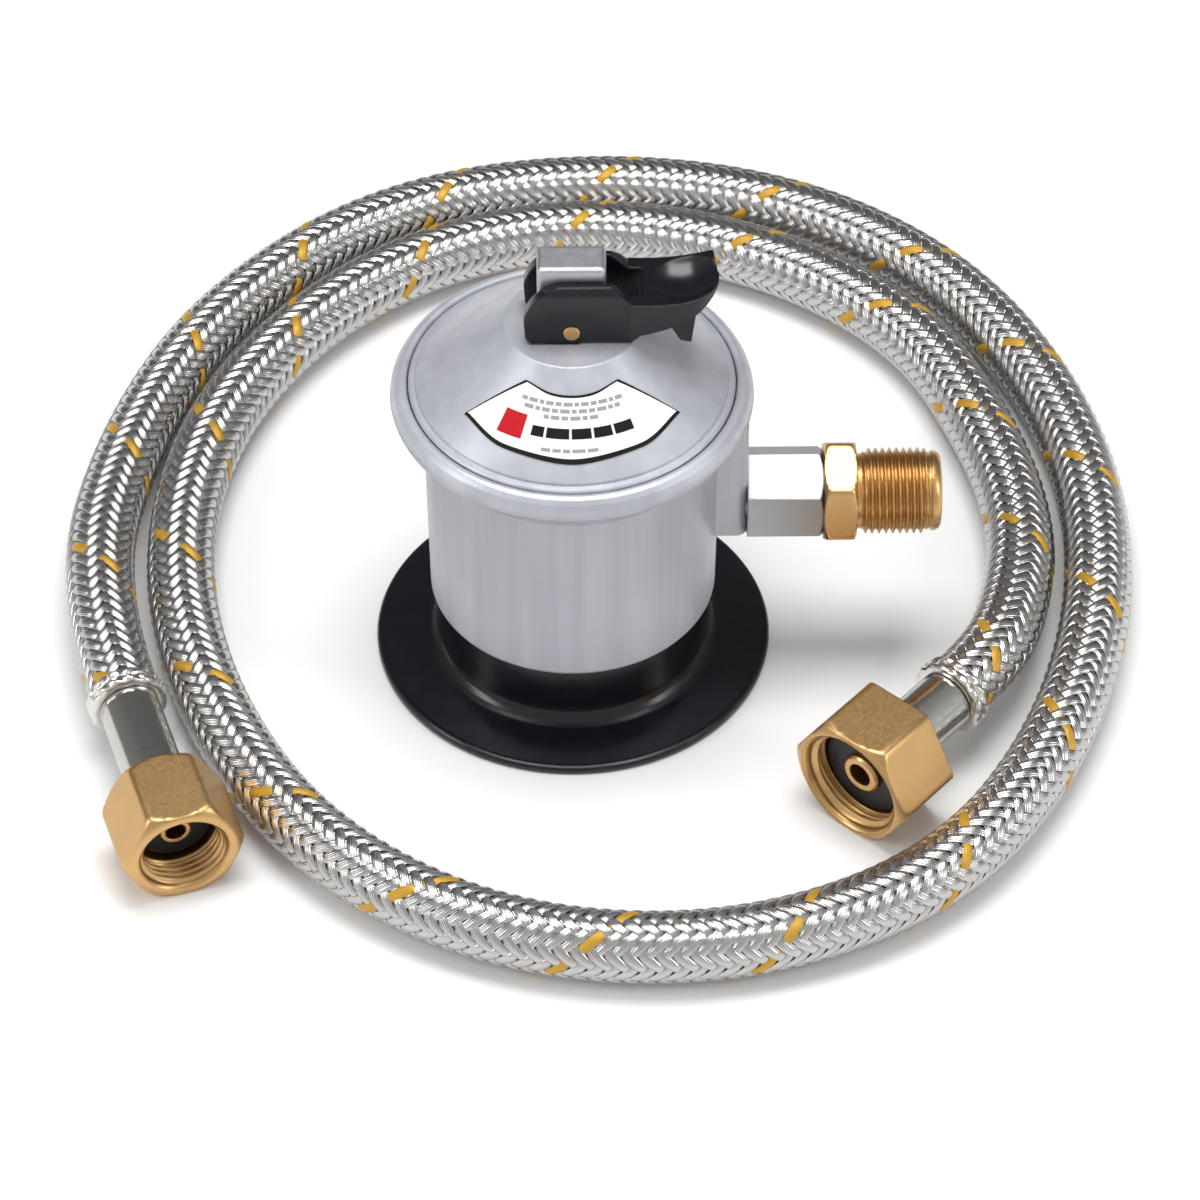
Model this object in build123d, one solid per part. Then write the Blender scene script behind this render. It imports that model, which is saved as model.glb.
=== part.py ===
from build123d import *
import math
import os

# Click-on gas cylinder regulator with a cam lever, standing inside a loose coil of
# stainless-braided gas hose with a union nut on each end. Millimetres, +Z up.
# The origin is on the regulator's axis, in the plane that everything stands on.
# +X points along the outlet. The hose lies on the same plane, around the regulator.

# ---------------------------------------------------------------- driving dimensions
# Regulator body and cap
BODY_BOTTOM_Z = 16.5
BODY_BOTTOM_R = 27.75
BODY_TOP_Z = 57.0
BODY_TOP_R = 28.3
BODY_SKIRT_R = 26.75
RIM_LOW_Z = 63.2
RIM_R = 34.4
LIP_TOP_Z = 68.1
LIP_INNER_R = 31.15
CLAMP_R = 32.6
CLAMP_Z = 62.5
CLAMP_TOP_Z = 65.5
CHAMBER_R = 24.5
CHAMBER_FLOOR_Z = 35.0
SPRING_CEILING_Z = 31.5
CORE_R = 20.2
SOCKET_CEILING_Z = 24.0
STEM_BORE_R = 3.35
CAP_EDGE_R = 30.9
CAP_EDGE_Z = 68.2
CONE_R = 29.5
CONE_Z = 68.8
PEDESTAL_R = 12.8
PEDESTAL_Z = 82.6
CAP_WALL = 2.4
CAP_PLATE_Z = 79.4

# Cylinder-valve socket, ball cage and release collar
SOCKET_R = 13.5
SOCKET_DEPTH = 21.0
SOCKET_LAND = 6.2
CAGE_R = 17.0
BALL_R = 3.0
BALL_LOCKED_R = 15.0
BALL_Z = 10.0
BALL_COUNT = 3
COLLAR_TRAVEL = 6.0
COLLAR_NECK_R = 26.4
COLLAR_NECK_WALL = 1.8
COLLAR_TOP_Z = 24.5
COLLAR_BRIM_R = 38.7
COLLAR_FLOOR_Z = 4.6

# Stem, pivot pin and cam lever
POST_X = 12.8
POST_Y = 7.4
POST_TOP_Z = 98.4
POST_LOW_Z = 72.0
ROD_R = 3.0
TIP_Z = 15.5
PIN_Z = 85.0
PIN_R = 1.65
PIN_HALF = 6.4
EAR_IN_Y = 3.9
EAR_OUT_Y = 6.2
TAB_HALF_Y = 7.0
LEVER_LOW_Z = 82.8
LEVER_REACH_X = -8.9
POST_SWEEP_R = 14.9

# Diaphragm, rocker arm and inlet nozzle
HUB_R = 4.4
HUB_FLANGE_R = 5.6
NOZZLE_X = -13.6
GAS_PORT_X = -7.0
ROCKER_X = -8.5
ROCKER_Z = 53.5

# Outlet
OUTLET_Z = 38.3
BOSS_END_X = 33.5
SOCKET_END_X = 48.1
SOCKET_FLATS = 16.0
FITTING_FLATS = 18.5
HEX_END_X = 54.5
THREAD_START_X = 56.0
THREAD_END_X = 68.0
NOSE_END_X = 70.8
G38_MAJOR_R = 8.33
G38_MINOR_R = 7.48
G12_MINOR_R = 9.32

# Hose: braid over a rubber liner
HOSE_R = 7.0
BRAID_IN_R = 6.3
LINER_R = 6.2
LINER_BORE_R = 4.0
HOSE_Z = 7.0
LEFT_Z = 10.5
RIGHT_Z = 12.0

# Each end fitting: the middle of the nut's mouth, the way the mouth points (degrees
# from +X), and the sizes of its nut, nipple, ferrule and end ring along its axis.
LEFT_END = dict(
    mouth=(-72.9, -68.5, LEFT_Z), heading=-72.0, flats=21.0, nut_length=17.0,
    thread_r=G38_MINOR_R, thread_depth=10.0, rear_r=7.3, rear_depth=3.0, neck_r=4.6,
    thread_end=6.4, flange_r=7.1, nose_r=3.3, bore_r=2.0, nose_depth=6.6, seal_r=7.0,
    ferrule_start=14.6, hose_start=41.5,
)
RIGHT_END = dict(
    mouth=(51.6, -53.0, RIGHT_Z), heading=-131.5, flats=24.0, nut_length=15.0,
    thread_r=G12_MINOR_R, thread_depth=7.0, rear_r=6.5, rear_depth=1.2, neck_r=4.8,
    thread_end=4.6, flange_r=8.9, nose_r=4.1, bore_r=2.45, nose_depth=3.6, seal_r=8.8,
    ferrule_start=14.2, hose_start=31.0,
)
FERRULE_R = 5.9
FERRULE_WALL = 0.9
LINER_CRIMP_R = 4.95
TAIL_R = 3.5
END_RING_R = 7.8

# The route's inner points, from the left fitting round the outside of the coil, and
# then round its inside to the right fitting.
ROUTE = [
    (-90, 49, HOSE_Z), (-73, 88, HOSE_Z), (-40, 119, HOSE_Z), (4, 129, HOSE_Z),
    (48, 121, HOSE_Z), (82, 95, HOSE_Z), (102, 53, HOSE_Z), (106, 9, HOSE_Z),
    (95, -35, HOSE_Z), (71, -72, HOSE_Z), (31, -90, HOSE_Z), (-13, -87, HOSE_Z),
    (-49, -64, HOSE_Z), (-71.5, -26, HOSE_Z), (-80, 17, HOSE_Z), (-71.5, 60.5, HOSE_Z),
    (-44.5, 97, HOSE_Z), (-5, 115, HOSE_Z), (38.5, 107, HOSE_Z), (72, 81, HOSE_Z),
    (86, 45, HOSE_Z), (90, 19, 7.5), (87, -2, 9.5),
]
LEFT_LEAD = 32.7
RIGHT_LEAD = 14.0
ARC_SHARE = 0.45


# ---------------------------------------------------------------- shared shapes
def turned(outline):
    """Solid of revolution about Z from a closed outline of (radius, height)."""
    face = Plane.XZ * make_face(Polyline(*outline, close=True))
    return revolve(face, axis=Axis.Z)


def ring(inner, outer, low, high):
    """Plain ring about Z."""
    return turned([(inner, low), (outer, low), (outer, high), (inner, high)])


def rod(radius, low, high):
    """Plain cylinder on Z."""
    return Pos(0, 0, low) * Cylinder(radius, high - low, align=(Align.CENTER, Align.CENTER, Align.MIN))


def hexagon_bar(flats, low, high, turn=0.0):
    """Hexagonal bar on Z, with a corner on +X when turn is 0."""
    profile = Rot(0, 0, turn) * RegularPolygon(flats / math.sqrt(3), 6)
    return Pos(0, 0, low) * extrude(profile, amount=high - low)


def corner_trim(flats, low, high, low_cut, high_cut):
    """Turned envelope that rounds a hexagon's corners at its two ends."""
    corner = flats / math.sqrt(3) + 0.1
    reach = flats / 2 * 0.985
    rise = (corner - reach) * math.tan(math.radians(30))
    outline = [(0, low), (reach if low_cut else corner, low)]
    if low_cut:
        outline.append((corner, low + rise))
    if high_cut:
        outline.append((corner, high - rise))
    outline += [(reach if high_cut else corner, high), (0, high)]
    return turned(outline)


def along_x(shape):
    """Lays a shape that was made on Z along +X."""
    return Rot(0, 90, 0) * shape


def cross_cylinder(radius, half_length, x, z):
    """Cylinder along Y through (x, z)."""
    return Pos(x, 0, z) * Rot(90, 0, 0) * Cylinder(radius, 2 * half_length)


def block(x_low, x_high, y_low, y_high, z_low, z_high):
    """Box between two corners."""
    size = (x_high - x_low, y_high - y_low, z_high - z_low)
    low = (Align.MIN, Align.MIN, Align.MIN)
    return Pos(x_low, y_low, z_low) * Box(*size, align=low)


def coil_spring(mean_r, wire_r, low, high, turns):
    """Open coil spring about Z, between two seats."""
    start = low + wire_r
    height = high - low - 2 * wire_r
    path = Pos(0, 0, start) * Helix(pitch=height / turns, height=height, radius=mean_r)
    profile = Plane(origin=path @ 0, z_dir=path % 0) * Circle(wire_r)
    return sweep(profile, path=path)


# ---------------------------------------------------------------- regulator body
def make_housing():
    """Die-cast body: valve socket core, gas chamber, clamping rim and outlet boss."""
    shell = turned([
        (CAGE_R + 0.03, 20), (CORE_R, 20), (CORE_R, SPRING_CEILING_Z),
        (BODY_SKIRT_R, SPRING_CEILING_Z), (BODY_SKIRT_R, BODY_BOTTOM_Z),
        (BODY_BOTTOM_R - 0.3, BODY_BOTTOM_Z), (BODY_BOTTOM_R, BODY_BOTTOM_Z + 0.5),
        (BODY_TOP_R, BODY_TOP_Z), (RIM_R - 1.2, RIM_LOW_Z), (RIM_R - 0.3, RIM_LOW_Z + 0.5),
        (RIM_R, RIM_LOW_Z + 1.7), (RIM_R - 0.15, RIM_LOW_Z + 2.7),
        (RIM_R - 0.7, LIP_TOP_Z - 1.0), (RIM_R - 1.5, LIP_TOP_Z - 0.25),
        (RIM_R - 2.3, LIP_TOP_Z), (LIP_INNER_R + 0.3, LIP_TOP_Z - 0.1),
        (LIP_INNER_R, LIP_TOP_Z - 0.5), (LIP_INNER_R, CLAMP_TOP_Z), (CLAMP_R, CLAMP_TOP_Z),
        (CLAMP_R, CLAMP_Z), (27, CLAMP_Z), (27, 58.5), (CHAMBER_R, 56),
        (CHAMBER_R, CHAMBER_FLOOR_Z), (STEM_BORE_R, CHAMBER_FLOOR_Z),
        (STEM_BORE_R, SOCKET_CEILING_Z), (CAGE_R + 0.03, SOCKET_CEILING_Z),
    ])
    boss = block(26.4, BOSS_END_X, -6.3, 6.3, 32.6, 60)
    boss = fillet(boss.edges().filter_by(Axis.Z).group_by(Axis.X)[-1], 2.0)
    boss = boss & turned([(0, 30), (40, 30), (40, 57), (RIM_R - 0.6, RIM_LOW_Z), (0, RIM_LOW_Z)])
    nozzle_boss = Pos(NOZZLE_X, 0, 0) * rod(5.0, CHAMBER_FLOOR_Z - 1, 44)
    body = shell + boss + nozzle_boss
    for side in (-1, 1):
        y_low, y_high = sorted((side * 7.0, side * 10.0))
        body += block(ROCKER_X - 2.5, ROCKER_X + 2.5, y_low, y_high, CHAMBER_FLOOR_Z - 1, 56)
    body -= cross_cylinder(1.25, 12, ROCKER_X, ROCKER_Z)
    body -= Pos(NOZZLE_X, 0, 0) * rod(3.0, 37, 45)
    body -= Pos(NOZZLE_X, 0, 0) * rod(1.5, 30, 38)
    body -= Pos(NOZZLE_X, 0, 31.5) * along_x(rod(1.1, 0, GAS_PORT_X - NOZZLE_X))
    body -= Pos(GAS_PORT_X, 0, 0) * rod(1.5, SOCKET_CEILING_Z - 1, 33)
    body -= ring(STEM_BORE_R - 1, 5.05, 28.5, 30.5)
    port = Pos(20, 0, OUTLET_Z) * along_x(rod(4.0, 0, BOSS_END_X - 20))
    seat = Pos(25.5, 0, OUTLET_Z) * along_x(rod(5.4, 0, BOSS_END_X - 25.5))
    return body - port - seat


def cone_r(z, inset=0.0):
    """Radius of the cap's cone at height z, moved inwards by inset."""
    run, rise = CONE_R - PEDESTAL_R, PEDESTAL_Z - CONE_Z
    slant = math.hypot(run, rise)
    return CONE_R - (z - CONE_Z) * run / rise - inset * slant / rise


def make_cap():
    """Conical cap, crimped under the body's rolled lip, with a flat pedestal on top."""
    inner_low = CONE_Z - 2.0
    cap = turned([
        (0, CAP_PLATE_Z), (cone_r(CAP_PLATE_Z, CAP_WALL), CAP_PLATE_Z),
        (cone_r(inner_low, CAP_WALL), inner_low), (28.6, inner_low - 0.8), (28.6, CLAMP_Z + 1.1),
        (CLAMP_R - 0.1, CLAMP_Z + 1.1), (CLAMP_R - 0.1, CLAMP_TOP_Z - 0.1),
        (CAP_EDGE_R, CLAMP_TOP_Z - 0.1), (CAP_EDGE_R, CAP_EDGE_Z - 0.4),
        (CAP_EDGE_R - 0.4, CAP_EDGE_Z), (CONE_R + 0.1, CAP_EDGE_Z + 0.1), (CONE_R, CONE_Z),
        (PEDESTAL_R + 0.4, PEDESTAL_Z - 0.35), (PEDESTAL_R, PEDESTAL_Z), (0, PEDESTAL_Z),
    ])
    guide = block(-POST_X / 2 - 0.4, POST_X / 2 + 0.4, -POST_Y / 2 - 0.4, POST_Y / 2 + 0.4, 70, 90)
    cap -= guide
    pocket_depth = 1.5
    for side in (-1, 1):
        y_low, y_high = sorted((side * 3.7, side * 6.4))
        cap -= block(-7.7, 1.4, y_low, y_high, PEDESTAL_Z - pocket_depth, PEDESTAL_Z + 1)
    vent = Pos(0, 22, 70) * rod(0.8, 0, 12)
    return cap - vent


def make_label():
    """Thin plain plate that follows the front of the cap's cone."""
    thickness = 0.25
    shell = turned([
        (cone_r(CONE_Z + 0.4, -0.02), CONE_Z + 0.4), (cone_r(CONE_Z + 0.4, -thickness), CONE_Z + 0.4),
        (cone_r(PEDESTAL_Z - 1.0, -thickness), PEDESTAL_Z - 1.0),
        (cone_r(PEDESTAL_Z - 1.0, -0.02), PEDESTAL_Z - 1.0),
    ])
    outline = [
        ThreePointArc((-20.6, -13.4), (0, -26.4), (20.6, -13.4)),
        Line((20.6, -13.4), (8.6, -13.1)),
        ThreePointArc((8.6, -13.1), (0, -16.8), (-8.6, -13.1)),
        Line((-8.6, -13.1), (-20.6, -13.4)),
    ]
    plan = make_face(Wire(Curve() + outline).edges())
    return shell & (Pos(0, 0, 60) * extrude(plan, amount=30))


def make_ball_cage():
    """Turned socket for the cylinder valve, with radial holes for the locking balls."""
    cage = turned([
        (SOCKET_R, 0), (CAGE_R - 0.5, 0), (CAGE_R, 0.5), (CAGE_R, 0.8), (16.2, 0.8),
        (16.2, 2.0), (CAGE_R, 2.0), (CAGE_R, SOCKET_CEILING_Z - 0.02),
        (SOCKET_R, SOCKET_CEILING_Z - 0.02),
        (SOCKET_R, SOCKET_DEPTH), (SOCKET_R + 0.4, SOCKET_DEPTH - 0.4),
        (SOCKET_R + 0.4, SOCKET_LAND + 0.4), (SOCKET_R, SOCKET_LAND),
    ])
    for index in range(BALL_COUNT):
        hole = Pos(0, 0, BALL_Z) * along_x(rod(BALL_R + 0.15, 10, 20))
        cage -= Rot(0, 0, ball_angle(index)) * hole
    return cage


def ball_angle(index):
    """Heading of a locking ball, in degrees from +X."""
    return 90 + index * 360 / BALL_COUNT


def make_ball(index):
    """Locking ball, pressed inwards by the collar's taper."""
    return Rot(0, 0, ball_angle(index)) * Pos(BALL_LOCKED_R, 0, BALL_Z) * Sphere(BALL_R)


def make_retaining_ring():
    """Open snap ring in the cage's groove, which carries the collar at its low stop."""
    return ring(16.25, 20.7, 0.85, 1.95) - block(14, 22, -1.5, 1.5, 0, 3)


def make_collar():
    """Release collar: brim, neck that telescopes into the body, and ball-locking hub."""
    fillet_r = 3.0
    bend = []
    for step in range(5):
        angle = math.radians(180 + step * 20)
        x = COLLAR_NECK_R + fillet_r + fillet_r * math.cos(angle)
        bend.append((x, 2.9 + fillet_r + fillet_r * math.sin(angle)))
    return turned([
        (19.8, 2.2), (19.8, 4.0), (18.3, BALL_Z), (18.3, 12.5), (20.3, 12.5),
        (20.3, COLLAR_FLOOR_Z), (COLLAR_NECK_R - COLLAR_NECK_WALL, COLLAR_FLOOR_Z),
        (COLLAR_NECK_R - COLLAR_NECK_WALL, COLLAR_TOP_Z), (COLLAR_NECK_R, COLLAR_TOP_Z), *bend,
        (COLLAR_BRIM_R - 1.2, 1.7), (COLLAR_BRIM_R - 0.8, 1.9), (COLLAR_BRIM_R - 0.3, 1.7),
        (COLLAR_BRIM_R, 1.1), (COLLAR_BRIM_R - 0.1, 0.3), (COLLAR_BRIM_R - 0.5, 0),
        (36.5, 0), (36.3, 0.6), (28, 0.9), (27.5, 0), (25, 0), (24.6, 2.2),
    ])


# ---------------------------------------------------------------- stem and lever
def make_stem():
    """Flat post that carries the lever, on a round rod that reaches the valve's pin."""
    post = block(-POST_X / 2, POST_X / 2, -POST_Y / 2, POST_Y / 2, POST_LOW_Z, POST_TOP_Z)
    post = fillet(post.edges().filter_by(Axis.Z), 0.8)
    post = fillet(post.edges().group_by(Axis.Z)[-1], 0.9)
    shaft = rod(ROD_R, TIP_Z + 2, POST_LOW_Z + 1)
    tip = turned([(0, TIP_Z), (1.7, TIP_Z), (2.2, TIP_Z + 0.5), (2.2, TIP_Z + 2.5), (0, TIP_Z + 2.5)])
    return post + shaft + tip - cross_cylinder(PIN_R, 10, 0, PIN_Z)


def make_pivot_pin():
    """Plain brass pin, fixed in the post, that the lever's ears turn on."""
    pin = rod(PIN_R, -PIN_HALF, PIN_HALF)
    pin = chamfer(pin.edges().filter_by(GeomType.CIRCLE), 0.25)
    return Pos(0, 0, PIN_Z) * Rot(90, 0, 0) * pin


def upright(outline, y_low, y_high):
    """Prism along Y from an outline of (x, z) edges."""
    flat = Plane.XZ * make_face(outline.edges())
    return Pos(0, y_high, 0) * extrude(flat, amount=y_high - y_low)


def make_lever():
    """Cam lever: two eccentric ears that straddle the post, and a scooped thumb tab."""
    heel_x = -7.2
    ear_top_z = 95.5
    ear_outline = Curve() + [
        Line((heel_x, LEVER_LOW_Z), (11.0, LEVER_LOW_Z)),
        Line((11.0, LEVER_LOW_Z), (13.4, 84.9)),
        Line((13.4, 84.9), (13.4, 90.2)),
        Line((13.4, 90.2), (12.3, 90.8)),
        Line((12.3, 90.8), (7.4, ear_top_z)),
        Line((7.4, ear_top_z), (-2.4, ear_top_z)),
        ThreePointArc((-2.4, ear_top_z), (-6.9, 92.7), (LEVER_REACH_X, 88.0)),
        Line((LEVER_REACH_X, 88.0), (-8.7, 84.9)),
        ThreePointArc((-8.7, 84.9), (-8.25, 83.4), (heel_x, LEVER_LOW_Z)),
    ]
    ears = upright(ear_outline, -EAR_OUT_Y, EAR_OUT_Y)
    gable = Polyline((-EAR_OUT_Y, 80), (-EAR_OUT_Y, 94.0), (-4.8, 96.0), (4.8, 96.0), (EAR_OUT_Y, 94.0),
                     (EAR_OUT_Y, 80), close=True)
    ears &= Pos(-15, 0, 0) * extrude(Plane.YZ * make_face(gable), amount=30)
    tab_outline = Curve() + [
        Line((10.5, 85.0), (13.0, 85.2)),
        ThreePointArc((13.0, 85.2), (20.8, 88.3), (27.2, 93.3)),
        ThreePointArc((27.2, 93.3), (27.2, 94.1), (26.5, 94.3)),
        ThreePointArc((26.5, 94.3), (19.0, 92.6), (12.2, 92.3)),
        Line((12.2, 92.3), (10.5, 92.3)),
        Line((10.5, 92.3), (10.5, 85.0)),
    ]
    tab_plan = Curve() + [
        Line((9.0, 6.8), (26.3, 6.8)),
        Line((26.3, 6.8), (27.4, -0.5)),
        ThreePointArc((27.4, -0.5), (25.4, -5.0), (20.0, -TAB_HALF_Y)),
        Line((20.0, -TAB_HALF_Y), (9.0, -TAB_HALF_Y)),
        Line((9.0, -TAB_HALF_Y), (9.0, 6.8)),
    ]
    tab = upright(tab_outline, -TAB_HALF_Y, 6.8)
    tab &= Pos(0, 0, 80) * extrude(make_face(tab_plan.edges()), amount=20)
    tab -= Pos(19.9, 0, 102.0) * Sphere(11.0)
    fin_outline = Polyline((18.4, 86.7), (20.2, 83.4), (22.2, 83.0), (23.0, 89.9), (19.0, 89.0), close=True)
    lever = ears + tab + upright(fin_outline, -6.3, -4.3)
    lever -= cross_cylinder(POST_SWEEP_R, EAR_IN_Y, 0, PIN_Z)
    return lever - cross_cylinder(PIN_R + 0.1, 10, 0, PIN_Z)


# ---------------------------------------------------------------- working parts inside
def make_diaphragm():
    """Rubber diaphragm with one rolled convolution, clamped under the cap's flange."""
    low, high = CLAMP_Z + 0.03, CLAMP_Z + 1.03
    roll = [(26.6, 0), (25.6, -1.6), (24.1, -2.3), (22.6, -1.6), (21.6, 0)]
    under = [(r, low + drop) for r, drop in roll]
    over = [(r, high + drop) for r, drop in reversed(roll)]
    return turned([(CLAMP_R - 0.05, low), *under, (4.05, low), (4.05, high), *over, (CLAMP_R - 0.05, high)])


def make_diaphragm_plate():
    """Pressed plate with an upturned rim, which seats the regulating spring."""
    low = CLAMP_Z + 1.06
    return turned([
        (4.1, low), (20.0, low), (20.5, low + 0.5), (20.5, low + 2.4), (19.3, low + 2.4),
        (19.3, low + 1.2), (4.1, low + 1.2),
    ])


def make_diaphragm_hub():
    """Riveted brass hub: it grips the diaphragm and moves the rocker's fork."""
    bore = STEM_BORE_R
    return turned([
        (bore, 50.5), (HUB_FLANGE_R, 50.5), (HUB_FLANGE_R, 51.9), (HUB_R, 51.9), (HUB_R, 55.3),
        (HUB_FLANGE_R, 55.3), (HUB_FLANGE_R, 56.5), (HUB_R, 56.5), (HUB_R, 61.3), (8.0, 61.3),
        (8.0, 62.5), (4.0, 62.5), (4.0, 64.8), (5.2, 64.8), (5.2, 65.3), (bore, 65.3),
    ])


def make_adjusting_ring():
    """Spring seat ring under the cap's top plate, with four spanner slots."""
    seat = ring(7.5, 12.6, 77.0, CAP_PLATE_Z - 0.02)
    for angle in (45, 135):
        seat -= Rot(0, 0, angle) * Pos(0, 0, 77.4) * Box(40, 2.0, 1.2)
    return seat


def make_rocker_arm():
    """Rocker: a fork in the hub's groove, a pivot barrel and the pad's arm."""
    low, high = 52.4, 54.7
    arm = block(-16.0, ROCKER_X, -3.2, 3.2, low, high)
    arm += cross_cylinder(2.4, 6.5, ROCKER_X, ROCKER_Z)
    arm += block(ROCKER_X, -6.0, -6.4, 6.4, low, high)
    for side in (-1, 1):
        y_low, y_high = sorted((side * 4.8, side * 6.4))
        arm += block(-6.0, 1.6, y_low, y_high, low, high)
    return arm - cross_cylinder(1.33, 10, ROCKER_X, ROCKER_Z)


def make_outlet_socket():
    """Hexagonal outlet stub, screwed into the body's boss."""
    stub = hexagon_bar(SOCKET_FLATS, BOSS_END_X, SOCKET_END_X, turn=176)
    stub &= corner_trim(SOCKET_FLATS, BOSS_END_X, SOCKET_END_X, False, True)
    stub += rod(5.35, 25.6, BOSS_END_X + 1)
    stub -= rod(4.0, 20, 41)
    stub -= rod(6.5, 40, SOCKET_END_X + 1)
    return Pos(0, 0, OUTLET_Z) * along_x(stub)


def make_outlet_fitting():
    """Brass fitting: hexagon, relief neck, thread envelope and tapered nose."""
    hexagon = hexagon_bar(FITTING_FLATS, SOCKET_END_X, HEX_END_X, turn=168)
    hexagon &= corner_trim(FITTING_FLATS, SOCKET_END_X, HEX_END_X, True, True)
    turned_part = turned([
        (0, 40.2), (6.45, 40.2), (6.45, SOCKET_END_X + 0.5), (7.2, SOCKET_END_X + 0.5),
        (7.2, THREAD_START_X - 0.4), (G38_MAJOR_R, THREAD_START_X), (G38_MAJOR_R, THREAD_END_X),
        (7.3, THREAD_END_X + 0.9), (7.0, NOSE_END_X - 0.4), (6.6, NOSE_END_X), (0, NOSE_END_X),
    ])
    fitting = hexagon + turned_part - rod(3.5, 35, 75)
    fitting -= turned([(0, 66.0), (3.5, 66.0), (5.6, NOSE_END_X + 0.1), (0, NOSE_END_X + 0.1)])
    return Pos(0, 0, OUTLET_Z) * along_x(fitting)


# ---------------------------------------------------------------- hose ends
def place(shape, end):
    """Puts a shape made on Z, with the nut's mouth at 0, on an end fitting's axis."""
    heading = math.radians(end["heading"])
    back = (-math.cos(heading), -math.sin(heading), 0)
    side = (-math.sin(heading), math.cos(heading), 0)
    return Plane(origin=end["mouth"], x_dir=side, z_dir=back).location * shape


def make_nut(end):
    """Union nut, which turns freely on the nipple's flange."""
    length = end["nut_length"]
    nut = hexagon_bar(end["flats"], 0, length)
    nut &= corner_trim(end["flats"], 0, length, True, end is LEFT_END)
    chamfer_r = end["thread_r"] + 1.2
    shoulder = end["thread_depth"] + 2.3
    bore = turned([
        (0, -1), (chamfer_r + 1, -1), (chamfer_r, 0), (end["thread_r"], 1.2),
        (end["thread_r"], end["thread_end"]), (end["thread_r"] + 0.4, end["thread_end"] + 0.4),
        (end["thread_r"] + 0.4, shoulder), (end["neck_r"] + 0.3, shoulder),
        (end["neck_r"] + 0.3, length - end["rear_depth"]), (end["rear_r"], length - end["rear_depth"]),
        (end["rear_r"], length + 1), (0, length + 1),
    ])
    return place(nut - bore, end)


def make_nipple(end):
    """Brass nipple: sealing nose, flange that holds the nut, and barbed tail."""
    face = end["thread_depth"]
    tail_end = end["hose_start"] - 4
    outline = [
        (end["bore_r"], end["nose_depth"]), (end["nose_r"] - 0.5, end["nose_depth"]),
        (end["nose_r"], end["nose_depth"] + 0.5), (end["nose_r"], face), (end["flange_r"], face),
        (end["flange_r"], face + 2.0), (end["neck_r"], face + 2.0),
        (end["neck_r"], end["ferrule_start"] - 0.02), (TAIL_R - 0.3, end["ferrule_start"] - 0.02),
    ]
    barb = end["ferrule_start"] + 3
    while barb < tail_end - 3:
        outline += [(TAIL_R - 0.3, barb), (TAIL_R, barb), (TAIL_R - 0.3, barb + 2.5)]
        barb += 3.5
    outline += [(TAIL_R - 0.3, tail_end), (end["bore_r"], tail_end)]
    return place(turned(outline), end)


def make_seal(end):
    """Flat rubber washer around the nose, against the flange."""
    face = end["thread_depth"]
    return place(ring(end["nose_r"] + 0.02, end["seal_r"], face - 2.0, face - 0.02), end)


def make_ferrule(end):
    """Crimped steel ferrule, closed onto the nipple at its front."""
    start, stop = end["ferrule_start"], end["hose_start"] - 1.2
    inner = FERRULE_R - FERRULE_WALL
    return place(turned([
        (TAIL_R + 0.1, start), (FERRULE_R - 0.5, start), (FERRULE_R, start + 0.5),
        (FERRULE_R, stop), (inner, stop), (inner, start + 1.2), (TAIL_R + 0.1, start + 1.2),
    ]), end)


def make_end_ring(end):
    """Rolled ring over the end of the braid, behind the ferrule."""
    front = end["hose_start"] - 1.0
    return place(turned([
        (LINER_CRIMP_R + 0.05, front), (FERRULE_R, front), (END_RING_R - 0.6, front),
        (END_RING_R, front + 0.6), (END_RING_R, front + 3.4), (END_RING_R - 0.4, front + 3.8),
        (HOSE_R + 0.03, front + 3.8), (HOSE_R + 0.03, front + 0.98), (LINER_CRIMP_R + 0.05, front + 0.98),
    ]), end)


# ---------------------------------------------------------------- hose
def on_axis(end, distance):
    """Point on an end fitting's axis, that far behind the nut's mouth."""
    heading = math.radians(end["heading"])
    x, y, z = end["mouth"]
    return Vector(x - distance * math.cos(heading), y - distance * math.sin(heading), z)


def route_points():
    """Corners of the hose's route, from the left fitting to the right one."""
    left, right = LEFT_END["hose_start"], RIGHT_END["hose_start"]
    start = [on_axis(LEFT_END, left), on_axis(LEFT_END, left + LEFT_LEAD)]
    finish = [on_axis(RIGHT_END, right + RIGHT_LEAD), on_axis(RIGHT_END, right)]
    return start + [Vector(*point) for point in ROUTE] + finish


def corner_radii(points):
    """Radius at each corner: as large as the two runs beside it allow."""
    radii = []
    for before, corner, after in zip(points, points[1:], points[2:]):
        arriving, leaving = corner - before, after - corner
        turn = math.radians(arriving.get_angle(leaving))
        radii.append(ARC_SHARE * min(arriving.length, leaving.length) / math.tan(turn / 2))
    return radii


def sweep_tube(path, outer, inner):
    """Tube of round section along a path."""
    start = Plane(origin=path @ 0, z_dir=path % 0)
    return sweep(start * (Circle(outer) - Circle(inner)), path=path)


def make_liner(path):
    """Rubber liner: full size under the braid, squeezed onto each nipple's tail."""
    liner = sweep_tube(path, LINER_R, LINER_BORE_R)
    for end in (LEFT_END, RIGHT_END):
        squeezed = ring(TAIL_R + 0.05, LINER_CRIMP_R, end["ferrule_start"] + 1.3, end["hose_start"] + 0.02)
        liner += place(squeezed, end)
    return liner


POINTS = route_points()
RADII = corner_radii(POINTS)
HOSE_PATH = FilletPolyline(*POINTS, radius=RADII)
print("corner radii", [round(radius, 1) for radius in RADII])
print("runs", [round((b - a).length, 1) for a, b in zip(POINTS, POINTS[1:])])

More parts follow.
